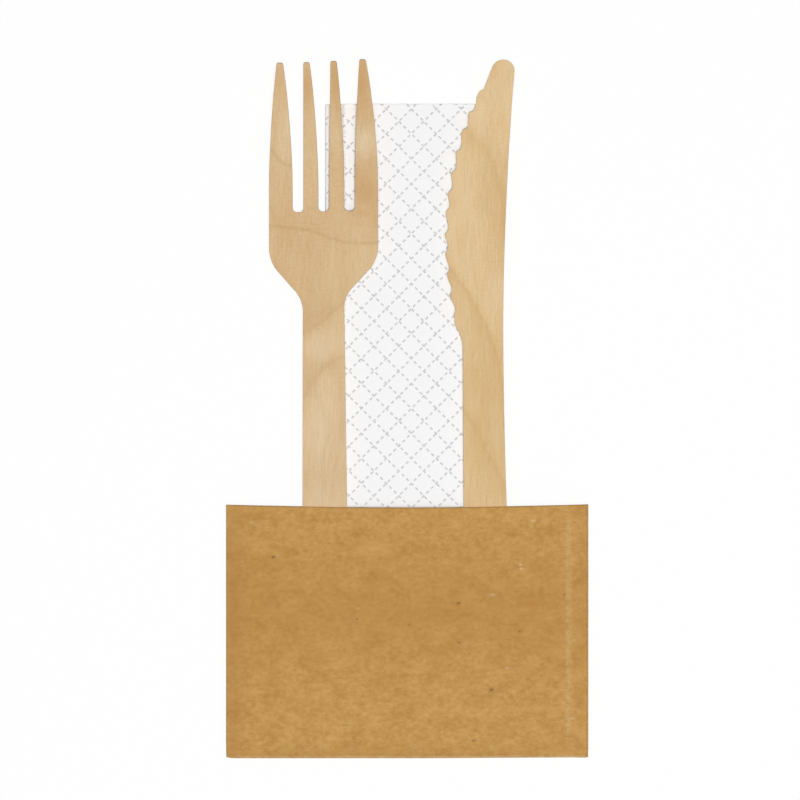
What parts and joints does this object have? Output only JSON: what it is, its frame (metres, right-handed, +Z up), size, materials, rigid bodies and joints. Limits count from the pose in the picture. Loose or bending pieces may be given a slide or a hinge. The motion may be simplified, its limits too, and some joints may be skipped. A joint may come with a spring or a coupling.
{
  "type": "wooden cutlery set",
  "caption": "Flat birch fork and serrated knife on a folded patterned napkin, held by their handles in a short kraft paper pocket.",
  "frame": {"origin": "middle of the footprint, on the surface the set lies on", "axes": "+Y from the pocket's bottom fold to the tips of the cutlery, +Z up out of the pocket's front panel, +X to the knife's side"},
  "size_m": [0.085, 0.164, 0.0068],
  "materials": {
    "kraft_paper": "uncoated brown kraft, faintly mottled",
    "birch": "pressed birch veneer, unvarnished, fine grain",
    "tissue": "white tissue with a grey dashed diamond pattern"
  },
  "bodies": {
    "root": {"paper_pocket": "kraft_paper", "fork": "birch", "knife": "birch", "napkin": "tissue"}
  },
  "joints": []
}
